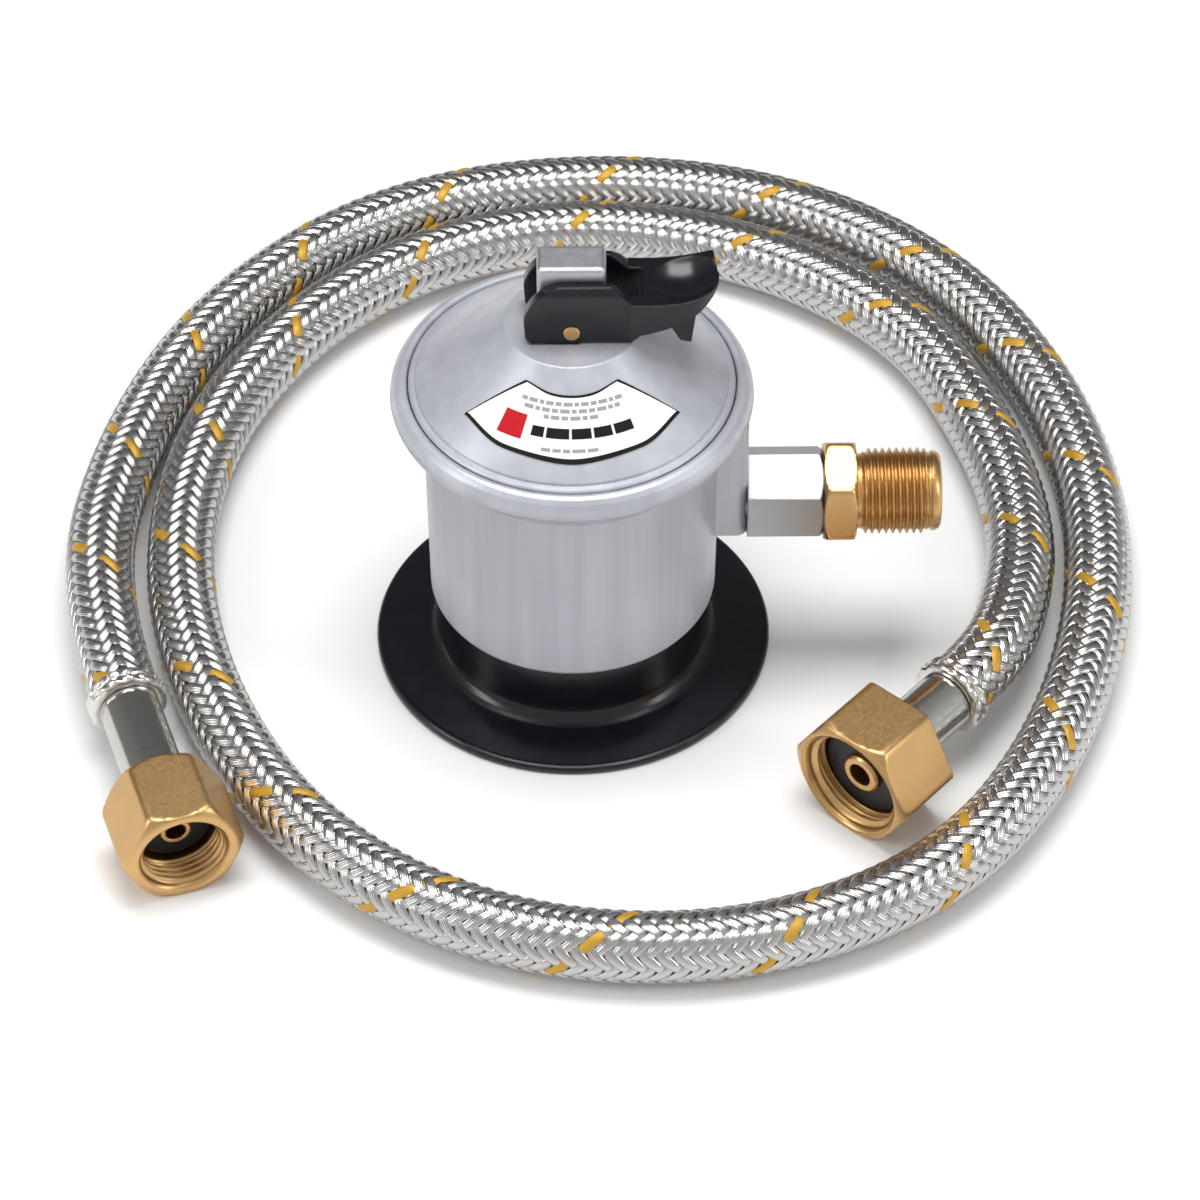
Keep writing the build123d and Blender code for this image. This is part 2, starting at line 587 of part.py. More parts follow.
PARTS = {
    "housing": make_housing(),
    "cap": make_cap(),
    "cap_label": make_label(),
    "ball_cage": make_ball_cage(),
    "retaining_ring": make_retaining_ring(),
    "inlet_seal": ring(8.7, SOCKET_R - 0.05, SOCKET_DEPTH, SOCKET_CEILING_Z - 0.02),
    "inlet_filter": ring(3.8, 8.5, SOCKET_CEILING_Z - 0.9, SOCKET_CEILING_Z - 0.02),
    "release_collar": make_collar(),
    "collar_spring": coil_spring(22.4, 0.8, COLLAR_FLOOR_Z + 0.05, SPRING_CEILING_Z - 0.05, 6),
    "stem": make_stem(),
    "stem_seal": Pos(0, 0, 29.5) * Torus(4.1, 0.9),
    "pivot_pin": make_pivot_pin(),
    "cam_lever": make_lever(),
    "diaphragm": make_diaphragm(),
    "diaphragm_plate": make_diaphragm_plate(),
    "diaphragm_hub": make_diaphragm_hub(),
    "regulating_spring": coil_spring(10.8, 1.0, CLAMP_Z + 2.31, 76.95, 4),
    "adjusting_ring": make_adjusting_ring(),
    "rocker_arm": make_rocker_arm(),
    "rocker_pin": cross_cylinder(1.23, 9.8, ROCKER_X, ROCKER_Z),
    "valve_pad": Pos(NOZZLE_X, 0, 0) * rod(2.4, 50.2, 52.38),
    "inlet_nozzle": Pos(NOZZLE_X, 0, 0) * turned([
        (1.0, 38), (2.98, 38), (2.98, 47.5), (1.9, 49.4), (1.0, 49.4)]),
    "outlet_socket": make_outlet_socket(),
    "outlet_fitting": make_outlet_fitting(),
    "hose_braid": sweep_tube(HOSE_PATH, HOSE_R, BRAID_IN_R),
    "hose_liner": make_liner(HOSE_PATH),
}
for number in range(BALL_COUNT):
    PARTS[f"locking_ball_{number + 1}"] = make_ball(number)
for side_name, fitting_end in (("left", LEFT_END), ("right", RIGHT_END)):
    PARTS[f"{side_name}_union_nut"] = make_nut(fitting_end)
    PARTS[f"{side_name}_nipple"] = make_nipple(fitting_end)
    PARTS[f"{side_name}_seal"] = make_seal(fitting_end)
    PARTS[f"{side_name}_ferrule"] = make_ferrule(fitting_end)
    PARTS[f"{side_name}_end_ring"] = make_end_ring(fitting_end)

section = math.pi * (HOSE_R**2 - BRAID_IN_R**2)
print("hose length", round(HOSE_PATH.length, 1))
print("tube volume over section times length", PARTS["hose_braid"].volume / (section * HOSE_PATH.length))

os.makedirs("parts", exist_ok=True)
for node, shape in PARTS.items():
    export_step(shape, f"parts/{node}.step")
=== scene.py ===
"""Looks of the gas regulator and its braided hose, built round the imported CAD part. Metres, +Z up."""

import math

import bpy
import numpy as np
from mathutils import Matrix, Vector


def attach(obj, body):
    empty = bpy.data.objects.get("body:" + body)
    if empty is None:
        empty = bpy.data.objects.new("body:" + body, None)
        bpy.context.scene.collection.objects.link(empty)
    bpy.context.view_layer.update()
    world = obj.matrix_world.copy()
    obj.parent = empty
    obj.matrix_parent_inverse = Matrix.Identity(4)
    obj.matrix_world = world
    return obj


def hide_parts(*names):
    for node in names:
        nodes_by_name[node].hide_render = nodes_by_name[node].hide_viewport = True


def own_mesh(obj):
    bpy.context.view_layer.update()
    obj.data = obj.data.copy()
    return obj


MM = 0.001

# ------------------------------------------------------------------ sizes shared with the CAD part
HOSE_Z = 7.0
LINER_R = 6.05 * MM
LEFT_MOUTH, LEFT_HEADING = (-72.9, -68.5, 10.5), -72.0
RIGHT_MOUTH, RIGHT_HEADING = (51.6, -53.0, 12.0), -131.5
LEFT_HOSE_START, RIGHT_HOSE_START = 41.5, 31.0
LEFT_LEAD, RIGHT_LEAD = 32.7, 14.0
ROUTE = [
    (-90, 49, HOSE_Z), (-73, 88, HOSE_Z), (-40, 119, HOSE_Z), (4, 129, HOSE_Z),
    (48, 121, HOSE_Z), (82, 95, HOSE_Z), (102, 53, HOSE_Z), (106, 9, HOSE_Z),
    (95, -35, HOSE_Z), (71, -72, HOSE_Z), (31, -90, HOSE_Z), (-13, -87, HOSE_Z),
    (-49, -64, HOSE_Z), (-71.5, -26, HOSE_Z), (-80, 17, HOSE_Z), (-71.5, 60.5, HOSE_Z),
    (-44.5, 97, HOSE_Z), (-5, 115, HOSE_Z), (38.5, 107, HOSE_Z), (72, 81, HOSE_Z),
    (86, 45, HOSE_Z), (90, 19, 7.5), (87, -2, 9.5),
]
G38_MAJOR_R, G38_MINOR_R = 8.33, 7.48
G12_MAJOR_R, G12_MINOR_R = 10.48, 9.32
G38_PITCH, G12_PITCH = 1.337, 1.814
OUTLET_Z = 38.3
OUTLET_SPIGOT_X, OUTLET_SPIGOT_R = 40.2, 6.45
SOCKET_END_X, OUTLET_FACE_R = 48.12, 8.6
OUTLET_HEX_X, OUTLET_HEX_END_X = 48.15, 54.5
OUTLET_FLATS, OUTLET_TURN = 18.5, 48
OUTLET_NECK = [(OUTLET_HEX_END_X, 8.2), (54.6, 7.3), (55.4, 7.2)]
OUTLET_THREAD_X, OUTLET_THREAD_END_X = 55.6, 68.4
OUTLET_ROOT_R, OUTLET_CREST_R = 7.35, G38_MAJOR_R - 0.02
OUTLET_END_X = 70.8
OUTLET_NOSE = [(68.7, 7.35), (69.0, 7.75), (69.8, 7.65), (70.4, 7.25), (70.75, 6.7), (OUTLET_END_X, 6.3)]
OUTLET_BORE_R, OUTLET_FLARE_X, OUTLET_MOUTH_R = 3.5, 66.0, 5.6
CONE_R, CONE_Z = 29.5, 68.8
PEDESTAL_R, PEDESTAL_Z = 12.8, 82.6
CONE_SLOPE = (PEDESTAL_Z - CONE_Z) / (CONE_R - PEDESTAL_R)
DIAPHRAGM_LOW, DIAPHRAGM_HIGH = 62.53, 63.53
DIAPHRAGM_ROLL = [(0.0, 26.6), (-1.6, 25.6), (-2.3, 24.1), (-1.6, 22.6), (0.0, 21.6)]
DIAPHRAGM_BORE_R, DISC_R, RIM_IN_R, RIM_R = 4.05, 26.75, 26.85, 32.5

# Braid: the carriers that run each way, the ribbon of wires on each, and how they weave
CARRIERS = 12
TRACER_CARRIER = 3
BRAID_LEAD = 36.0 * MM
RIBBON_HALF = 1.03 * MM
RIBBON_SECTION = [
    (-1.0, -0.34), (-0.72, -0.15), (-0.36, -0.03), (0.0, 0.0), (0.36, -0.03), (0.72, -0.15), (1.0, -0.34),
]
WEAVE_R = 6.66 * MM
WEAVE_RISE = 0.2 * MM
WEAVE_FULLNESS = 1.3
BRAID_END_GAP = 1.4 * MM
HOSE_STEP = 0.5 * MM
LINER_SEGMENTS = 32

# Turned and milled parts, in mm
TURNED_SEGMENTS, RING_SEGMENTS = 144, 176
CORNER_BLEND = 0.12
CHAMFER_REACH = 0.97
CHAMFER_STEPS = [(0.0, 0.0), (0.12, 0.22), (0.32, 0.46), (0.6, 0.7), (0.95, 0.88), (1.4, 1.02)]
EDGE_DEPTH, EDGE_CUT = 0.25, 0.3
THREAD_ROWS_PER_TURN, THREAD_FADE = 8, 0.6
NUT_TURN, NUT_CHAMFER_SIZE = 30, 1.6
NUT_LIP, NUT_LIP_SHARE = 0.12, 0.93
NUT_THREAD_START = 1.0
NUT_MOUTH = [(0.7, 0.05), (0.15, 0.5), (0.0, 0.75)]
NECK_GAP, THREAD_RELIEF = 0.3, 0.4

# End rings: each strand's place and hand, and the twist of its wires
RING_OVERLAP, RING_LENGTH, RING_LIP = 1.0, 3.75, 0.98
RING_BORE_R, RING_FACE_R, RING_INNER_R = 5.0, 6.3, 7.04
STRANDS = ((1.0, 1), (2.8, -1))
STRAND_STEPS = (-0.88, -0.7, -0.45, -0.2, 0.0, 0.2, 0.45, 0.7, 0.88)
STRAND_SEAT_R, STRAND_RISE = 6.95, 0.66
TWIST_COUNT, TWIST_SLANT, TWIST_DEPTH = 15, 2.2, 0.18

# Printed film: plan outlines of its edge and face, the lift of each layer off the cone, and the
# printed blocks, each between two radii and two angles in degrees from -Y
EDGE_TOP = [(-8.5, -13.45), (-4.4, -16.1), (0, -16.95), (4.4, -16.1), (8.5, -13.45)]
EDGE_FOOT = [(-20.1, -14.6), (-13.2, -22.6), (0, -26.85), (13.2, -22.6), (20.1, -14.6)]
FACE_TOP = [(-8.3, -13.9), (-4.3, -16.55), (0, -17.35), (4.3, -16.55), (8.3, -13.9)]
FACE_FOOT = [(-19.4, -14.75), (-12.7, -22.2), (0, -26.1), (12.7, -22.2), (19.4, -14.75)]
EDGE_LIFT, FACE_LIFT, INK_LIFT = 0.2, 0.24, 0.27
PRINT_LINES = ((18.3, 30.0), (19.3, 27.0), (20.3, 15.0))
PRINT_LINE_HALF, PRINT_WORD_GAP, PRINT_SHORTEST = 0.28, 1.2, 1.5
PRINT_WORDS = (3.4, 5.2, 2.6, 4.4)
RED_RADII, RED_SPAN = (20.6, 24.2), (-35.5, -23.5)
BAR_RADII, NOTE_RADII = (21.8, 23.3), (24.75, 25.25)
PRINT_BARS = ((-19.5, -13.5), (-12.3, -1.5), (-0.3, 9.0), (10.2, 19.0), (20.2, 29.5))
PRINT_NOTES = ((-13.5, -9.5), (-8.5, -5.0), (-4.0, -1.0), (0.0, 5.5), (6.5, 11.0))
ARC_POINTS = 5


# ------------------------------------------------------------------ materials
NOISE_RANGE = (0.3, 0.7)
WIRES_PER_RIBBON = 6


def new_material(name, color, metallic, roughness):
    """A Principled material. Returns it with its nodes, links and shader."""
    material = bpy.data.materials.new(name)
    material.use_nodes = True
    shader = material.node_tree.nodes["Principled BSDF"]
    shader.inputs["Base Color"].default_value = (*color, 1)
    shader.inputs["Metallic"].default_value = metallic
    shader.inputs["Roughness"].default_value = roughness
    return material, material.node_tree.nodes, material.node_tree.links, shader


def noise(nodes, links, scale, detail, stretch=(1, 1, 1)):
    """Noise in the object's own metres. Returns its value."""
    place = nodes.new("ShaderNodeTexCoord")
    mapping = nodes.new("ShaderNodeMapping")
    mapping.inputs["Scale"].default_value = stretch
    links.new(place.outputs["Object"], mapping.inputs["Vector"])
    node = nodes.new("ShaderNodeTexNoise")
    node.inputs["Scale"].default_value = scale
    node.inputs["Detail"].default_value = detail
    links.new(mapping.outputs["Vector"], node.inputs["Vector"])
    return node.outputs["Fac"]


def ramp(nodes, links, source, dark, light):
    """Colour between dark and light over the middle range of a noise."""
    node = nodes.new("ShaderNodeValToRGB")
    for element, position, color in zip(node.color_ramp.elements, NOISE_RANGE, (dark, light)):
        element.position = position
        element.color = (*color, 1)
    links.new(source, node.inputs["Fac"])
    return node.outputs["Color"]


def spread(nodes, links, source, low, high):
    """Maps the middle range of a noise to low..high."""
    node = nodes.new("ShaderNodeMapRange")
    node.inputs["From Min"].default_value = NOISE_RANGE[0]
    node.inputs["From Max"].default_value = NOISE_RANGE[1]
    node.inputs["To Min"].default_value = low
    node.inputs["To Max"].default_value = high
    links.new(source, node.inputs["Value"])
    return node.outputs["Result"]


def bump(nodes, links, height, distance, strength, normal=None):
    """Surface relief from a height, on top of another normal where one is given."""
    node = nodes.new("ShaderNodeBump")
    node.inputs["Strength"].default_value = strength
    node.inputs["Distance"].default_value = distance
    links.new(height, node.inputs["Height"])
    if normal is not None:
        links.new(normal, node.inputs["Normal"])
    return node.outputs["Normal"]


def soft_edges(nodes, radius):
    """Normal that rounds the edges a ray sees."""
    node = nodes.new("ShaderNodeBevel")
    node.samples = 4
    node.inputs["Radius"].default_value = radius
    return node.outputs["Normal"]


def lacquer():
    """Silver lacquer over a die casting: metallic flake, faint vertical streaks."""
    material, nodes, links, shader = new_material("silver_lacquer", (0.5, 0.5, 0.5), 0.45, 0.42)
    streak = noise(nodes, links, 260, 2.0, (1, 1, 0.04))
    cloud = noise(nodes, links, 50, 3.0)
    flake = noise(nodes, links, 3400, 1.0)
    color = ramp(nodes, links, streak, (0.45, 0.46, 0.51), (0.53, 0.54, 0.59))
    links.new(color, shader.inputs["Base Color"])
    links.new(spread(nodes, links, cloud, 0.36, 0.46), shader.inputs["Roughness"])
    normal = bump(nodes, links, flake, 0.05 * MM, 0.55, soft_edges(nodes, 0.5 * MM))
    links.new(bump(nodes, links, streak, 0.06 * MM, 0.2, normal), shader.inputs["Normal"])
    return material


def brass(name, low, high, edge):
    """Machined brass: fine turning lines and faint tarnish."""
    material, nodes, links, shader = new_material(name, (0.6, 0.38, 0.17), 1.0, 0.3)
    lines = noise(nodes, links, 2600, 2.0)
    cloud = noise(nodes, links, 70, 2.0)
    color = ramp(nodes, links, cloud, (0.60, 0.375, 0.16), (0.64, 0.405, 0.18))
    links.new(color, shader.inputs["Base Color"])
    links.new(spread(nodes, links, lines, low, high), shader.inputs["Roughness"])
    normal = bump(nodes, links, lines, 0.01 * MM, 0.2, soft_edges(nodes, edge))
    links.new(normal, shader.inputs["Normal"])
    return material


def steel(name, color, low, high, edge=0.3 * MM):
    """Bright steel with fine scratches."""
    material, nodes, links, shader = new_material(name, color, 1.0, 0.2)
    lines = noise(nodes, links, 900, 2.0)
    links.new(spread(nodes, links, lines, low, high), shader.inputs["Roughness"])
    normal = bump(nodes, links, lines, 0.02 * MM, 0.2, soft_edges(nodes, edge))
    links.new(normal, shader.inputs["Normal"])
    return material


def black_plastic():
    """Deep black moulding, glossy, with fine handling marks."""
    material, nodes, links, shader = new_material("black_plastic", (0.004, 0.005, 0.008), 0.0, 0.2)
    marks = noise(nodes, links, 240, 4.0)
    ripple = noise(nodes, links, 60, 1.0)
    links.new(spread(nodes, links, marks, 0.16, 0.26), shader.inputs["Roughness"])
    normal = bump(nodes, links, ripple, 0.1 * MM, 0.06, soft_edges(nodes, 0.7 * MM))
    links.new(normal, shader.inputs["Normal"])
    return material


def rubber():
    """Dull black rubber with a fine grain."""
    material, nodes, links, shader = new_material("rubber", (0.012, 0.012, 0.013), 0.0, 0.5)
    grain = noise(nodes, links, 1500, 3.0)
    links.new(spread(nodes, links, grain, 0.4, 0.6), shader.inputs["Roughness"])
    links.new(bump(nodes, links, grain, 0.05 * MM, 0.4), shader.inputs["Normal"])
    return material


def braid_material(name, color, metallic, low, high):
    """Bright wires laid side by side: the second UV coordinate runs across the ribbon."""
    material, nodes, links, shader = new_material(name, color, metallic, 0.25)
    place = nodes.new("ShaderNodeTexCoord")
    split = nodes.new("ShaderNodeSeparateXYZ")
    links.new(place.outputs["UV"], split.inputs["Vector"])
    wave = nodes.new("ShaderNodeMath")
    wave.operation = "MULTIPLY"
    wave.inputs[1].default_value = 2 * math.pi * WIRES_PER_RIBBON
    links.new(split.outputs["Y"], wave.inputs[0])
    sine = nodes.new("ShaderNodeMath")
    sine.operation = "SINE"
    links.new(wave.outputs[0], sine.inputs[0])
    cloud = noise(nodes, links, 700, 3.0)
    links.new(spread(nodes, links, cloud, low, high), shader.inputs["Roughness"])
    links.new(bump(nodes, links, sine.outputs[0], 0.04 * MM, 0.5), shader.inputs["Normal"])
    return material


def film(name, color):
    """Printed film on the cap."""
    material, nodes, links, shader = new_material(name, color, 0.0, 0.6)
    shader.inputs["Specular IOR Level"].default_value = 0.2
    cloud = noise(nodes, links, 300, 2.0)
    links.new(spread(nodes, links, cloud, 0.55, 0.7), shader.inputs["Roughness"])
    return material


# ------------------------------------------------------------------ mesh helpers
def add_object(name, mesh):
    thing = bpy.data.objects.new(name, mesh)
    bpy.context.scene.collection.objects.link(thing)
    return thing


def mesh_object(name, verts, faces, material, sharp=35):
    """Small mesh, smooth except where it turns by more than sharp degrees."""
    mesh = bpy.data.meshes.new(name)
    mesh.from_pydata(verts, [], faces)
    mesh.materials.append(material)
    mesh.update()
    mesh.shade_smooth()
    mesh.set_sharp_from_angle(angle=math.radians(sharp))
    return add_object(name, mesh)


def grid_faces(rows, columns, wrap_rows=False, wrap_columns=False):
    """Quads of a grid whose vertex index is row * columns + column."""
    row = np.arange(rows if wrap_rows else rows - 1)
    column = np.arange(columns if wrap_columns else columns - 1)
    a, b = np.meshgrid(row, column, indexing="ij")
    a2, b2 = (a + 1) % rows, (b + 1) % columns
    quads = np.stack([a * columns + b, a2 * columns + b, a2 * columns + b2, a * columns + b2], -1)
    return quads.reshape(-1, 4)


def big_mesh(name, verts, quads, material, uvs=None):
    """Mesh from numpy arrays, smooth all over."""
    mesh = bpy.data.meshes.new(name)
    mesh.vertices.add(len(verts))
    mesh.vertices.foreach_set("co", verts.astype(np.float32).ravel())
    mesh.loops.add(quads.size)
    mesh.loops.foreach_set("vertex_index", quads.ravel().astype(np.int32))
    mesh.polygons.add(len(quads))
    mesh.polygons.foreach_set("loop_start", np.arange(0, quads.size, 4, dtype=np.int32))
    mesh.update(calc_edges=True)
    mesh.validate()
    mesh.materials.append(material)
    if uvs is not None:
        layer = mesh.uv_layers.new(name="UVMap")
        layer.data.foreach_set("uv", uvs[quads.ravel()].astype(np.float32).ravel())
    mesh.shade_smooth()
    return add_object(name, mesh)


def lathe(name, loop, material, segments=TURNED_SEGMENTS, sharp=35):
    """Solid round +X from a closed loop of (position, radius) in mm. A radius can vary with angle."""
    angles = np.linspace(0, 2 * math.pi, segments, endpoint=False)
    rows = []
    for position, radius in loop:
        r = radius(angles) if callable(radius) else np.full(segments, float(radius))
        along = np.full(segments, float(position))
        rows.append(np.stack([along, r * np.cos(angles), r * np.sin(angles)], -1))
    verts = np.concatenate(rows) * MM
    quads = grid_faces(len(loop), segments, wrap_rows=True, wrap_columns=True)
    return mesh_object(name, verts.tolist(), quads.tolist(), material, sharp=sharp)


def hexagon(flats, turn, limit):
    """Radius of a hexagon with softened corners, never more than limit."""
    def radius(angles):
        local = np.mod(angles - math.radians(turn) + math.pi / 6, math.pi / 3) - math.pi / 6
        flat = flats / 2 / np.cos(local)
        corner = flats / math.sqrt(3) - CORNER_BLEND
        return np.minimum(np.minimum(flat, corner), limit)
    return radius


def thread_radius(root, crest, pitch, position, fade):
    """Radius on a helical thread at one position along its axis. fade scales its height."""
    def radius(angles):
        phase = np.mod(position / pitch - angles / (2 * math.pi), 1.0)
        tooth = np.clip(1.35 * (1 - np.abs(2 * phase - 1)) - 0.15, 0, 1)
        return root + (crest - root) * tooth * fade
    return radius


def seat(thing, mouth, heading):
    """Moves a shape made along +X, with 0 at the mouth and +X towards the hose, onto a fitting's axis."""
    turn = Matrix.Rotation(math.radians(heading + 180), 4, "Z")
    thing.data.transform(Matrix.Translation(Vector(mouth) * MM) @ turn)
    return thing


# ------------------------------------------------------------------ scene
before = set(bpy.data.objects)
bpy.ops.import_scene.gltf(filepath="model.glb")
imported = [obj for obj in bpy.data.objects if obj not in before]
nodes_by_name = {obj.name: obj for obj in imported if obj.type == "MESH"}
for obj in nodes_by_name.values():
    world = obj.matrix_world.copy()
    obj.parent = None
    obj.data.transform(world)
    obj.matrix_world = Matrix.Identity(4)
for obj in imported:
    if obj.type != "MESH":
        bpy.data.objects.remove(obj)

LACQUER = lacquer()
BRASS = brass("brass", 0.26, 0.38, 0.4 * MM)
NUT_BRASS = brass("nut_brass", 0.3, 0.4, 0.5 * MM)
STEEL = steel("bright_steel", (0.55, 0.54, 0.51), 0.12, 0.2)
RING_STEEL = steel("ring_steel", (0.72, 0.70, 0.66), 0.14, 0.24)
PLATED = steel("plated_steel", (0.42, 0.43, 0.45), 0.34, 0.4, 0.6 * MM)
POST_STEEL = steel("post_steel", (0.52, 0.52, 0.56), 0.38, 0.44, 0.8 * MM)
BLACK = black_plastic()
RUBBER = rubber()
WIRE = braid_material("braid_wire", (0.52, 0.51, 0.50), 1.0, 0.16, 0.26)
TRACER = braid_material("braid_tracer", (0.55, 0.31, 0.03), 0.3, 0.3, 0.45)
FILM = film("label_film", (0.85, 0.85, 0.85))
INK_BLACK = film("label_black", (0.006, 0.006, 0.006))
INK_GREY = film("label_grey", (0.32, 0.32, 0.34))
INK_RED = film("label_red", (0.50, 0.008, 0.015))

FINISHES = {
    "housing": LACQUER, "cap": LACQUER, "outlet_socket": PLATED, "ball_cage": STEEL,
    "retaining_ring": STEEL, "stem": POST_STEEL, "left_ferrule": STEEL, "right_ferrule": STEEL,
    "left_end_ring": STEEL, "right_end_ring": STEEL, "collar_spring": STEEL, "regulating_spring": STEEL,
    "locking_ball_1": STEEL, "locking_ball_2": STEEL, "locking_ball_3": STEEL, "rocker_pin": STEEL,
    "diaphragm_plate": STEEL, "release_collar": BLACK, "cam_lever": BLACK, "pivot_pin": BRASS,
    "diaphragm_hub": BRASS, "rocker_arm": BRASS, "inlet_nozzle": BRASS, "outlet_fitting": BRASS,
    "adjusting_ring": BRASS, "left_nipple": BRASS, "right_nipple": BRASS, "left_union_nut": NUT_BRASS,
    "right_union_nut": NUT_BRASS, "inlet_filter": BRASS, "inlet_seal": RUBBER, "stem_seal": RUBBER,
    "diaphragm": RUBBER, "valve_pad": RUBBER, "left_seal": RUBBER, "right_seal": RUBBER,
    "hose_liner": RUBBER, "hose_braid": WIRE, "cap_label": FILM,
}
for node_name, node in nodes_by_name.items():
    node.data.materials.clear()
    node.data.materials.append(FINISHES[node_name])
    node.data.shade_smooth()
    node.data.set_sharp_from_angle(angle=math.radians(30))


# ------------------------------------------------------------------ hose
CURVE_STEPS = 64
SAME_POINT = 1e-9


def on_axis(mouth, heading, distance):
    """Point on a fitting's axis, at a distance back from its mouth."""
    angle = math.radians(heading)
    return (mouth[0] - distance * math.cos(angle), mouth[1] - distance * math.sin(angle), mouth[2])


def hose_points():
    """Control points of the route, from the left fitting to the right one, in metres."""
    start = [on_axis(LEFT_MOUTH, LEFT_HEADING, LEFT_HOSE_START)]
    start.append(on_axis(LEFT_MOUTH, LEFT_HEADING, LEFT_HOSE_START + LEFT_LEAD))
    finish = [on_axis(RIGHT_MOUTH, RIGHT_HEADING, RIGHT_HOSE_START + RIGHT_LEAD)]
    finish.append(on_axis(RIGHT_MOUTH, RIGHT_HEADING, RIGHT_HOSE_START))
    return [Vector(point) * MM for point in start + ROUTE + finish]


def follow_spline(points):
    """Evenly spaced points on the clamped spline through the route's control points."""
    curve = bpy.data.curves.new("hose_path", "CURVE")
    curve.dimensions = "3D"
    curve.resolution_u = CURVE_STEPS
    spline = curve.splines.new("NURBS")
    spline.points.add(len(points) - 1)
    for slot, point in zip(spline.points, points):
        slot.co = (*point, 1)
    spline.order_u = 3
    spline.use_endpoint_u = True
    thing = add_object("hose_path", curve)
    bpy.context.view_layer.update()
    mesh = bpy.data.meshes.new_from_object(thing)
    line = np.array([v.co for v in mesh.vertices])
    bpy.data.objects.remove(thing)
    bpy.data.meshes.remove(mesh)
    steps = np.linalg.norm(np.diff(line, axis=0), axis=1)
    line = line[np.concatenate([[True], steps > SAME_POINT])]
    reach = np.concatenate([[0], np.cumsum(np.linalg.norm(np.diff(line, axis=0), axis=1))])
    count = int(reach[-1] / HOSE_STEP) + 1
    even = np.linspace(0, reach[-1], count)
    return np.stack([np.interp(even, reach, line[:, k]) for k in range(3)], -1), even


class Tube:
    """Centreline with a steady frame, so that points can be placed by length, angle and radius."""

    def __init__(self, line, reach):
        self.reach = reach
        self.line = line
        tangent = np.gradient(line, axis=0)
        tangent /= np.linalg.norm(tangent, axis=1)[:, None]
        up = np.tile([0.0, 0.0, 1.0], (len(line), 1))
        up -= (up * tangent).sum(1)[:, None] * tangent
        self.up = up / np.linalg.norm(up, axis=1)[:, None]
        self.side = np.cross(tangent, self.up)

    def at(self, s, angle, radius):
        """Points at length s, turned by angle round the centreline and radius away from it."""
        def pick(values):
            return np.stack([np.interp(s, self.reach, values[:, k]) for k in range(3)], -1)
        radial = np.cos(angle)[..., None] * pick(self.side) + np.sin(angle)[..., None] * pick(self.up)
        return pick(self.line) + radial * radius[..., None]


HOSE_LINE, HOSE_REACH = follow_spline(hose_points())
HOSE = Tube(HOSE_LINE, HOSE_REACH)
HOSE_LENGTH = float(HOSE_REACH[-1])


def weave_height(phase):
    """Over two, under two, each float a rounded bulge."""
    wave = np.cos(math.pi * (phase - 0.5) / 2)
    return np.tanh(WEAVE_FULLNESS * wave) / math.tanh(WEAVE_FULLNESS)


def ribbon(index, hand, samples_per_crossing):
    """One flat carrier of wires. Returns its vertices and (length, across) coordinates."""
    crossings = HOSE_LENGTH / BRAID_LEAD * 2 * CARRIERS
    count = int(crossings * samples_per_crossing) + 1
    s = np.linspace(0, HOSE_LENGTH, count)
    across, crown = np.array(RIBBON_SECTION).T
    phase = 2 * index + hand * 2 * CARRIERS * s / BRAID_LEAD
    if hand < 0:
        phase = phase + 2
    rise = WEAVE_RISE * weave_height(phase)
    pitch_angle = math.atan(2 * math.pi * WEAVE_R / BRAID_LEAD)
    width = across * RIBBON_HALF
    grid_s = s[:, None] - hand * math.sin(pitch_angle) * width[None, :]
    turn = 2 * math.pi * index / CARRIERS + hand * 2 * math.pi * s / BRAID_LEAD
    grid_turn = turn[:, None] + math.cos(pitch_angle) * width[None, :] / WEAVE_R
    radius = WEAVE_R + rise[:, None] + crown[None, :] * MM
    grid_s = np.clip(grid_s, BRAID_END_GAP, HOSE_LENGTH - BRAID_END_GAP)
    verts = HOSE.at(grid_s, grid_turn, radius)
    uvs = np.stack(np.broadcast_arrays(s[:, None] / BRAID_LEAD, (across[None, :] + 1) / 2), -1)
    return verts.reshape(-1, 3), uvs.reshape(-1, 2), grid_faces(count, len(across))


def build_braid():
    """All the carriers in one mesh, with the coloured tracer as its second material."""
    samples = 4
    verts, uvs, quads, tracer = [], [], [], []
    total = 0
    for hand in (1, -1):
        for index in range(CARRIERS):
            v, u, q = ribbon(index, hand, samples)
            if hand < 0:
                q = q[:, ::-1]
            verts.append(v)
            uvs.append(u)
            quads.append(q + total)
            tracer.append(np.full(len(q), hand == 1 and index == TRACER_CARRIER))
            total += len(v)
    braid = big_mesh("braid", np.concatenate(verts), np.concatenate(quads), WIRE, np.concatenate(uvs))
    braid.data.materials.append(TRACER)
    braid.data.polygons.foreach_set("material_index", np.concatenate(tracer).astype(np.int32))
    return braid


def build_liner():
    """Rubber tube seen between the carriers."""
    rows = len(HOSE_REACH[::4])
    angles = np.linspace(0, 2 * math.pi, LINER_SEGMENTS, endpoint=False)
    s, a = np.meshgrid(np.linspace(0, HOSE_LENGTH, rows), angles, indexing="ij")
    verts = HOSE.at(s, a, np.full(s.shape, LINER_R)).reshape(-1, 3)
    return big_mesh("liner", verts, grid_faces(rows, LINER_SEGMENTS, wrap_columns=True), RUBBER)


# ------------------------------------------------------------------ nuts, rings, outlet, label
def thread_rows(start, stop, root, crest, pitch):
    """Closely spaced rings of a helical thread that fades in and out at its ends."""
    count = int(round((stop - start) / (pitch / THREAD_ROWS_PER_TURN)))
    rows = []
    for step in range(count + 1):
        position = start + (stop - start) * step / count
        fade = min(1.0, min(position - start, stop - position) / (THREAD_FADE * pitch))
        rows.append((position, thread_radius(root, crest, pitch, position, fade)))
    return rows


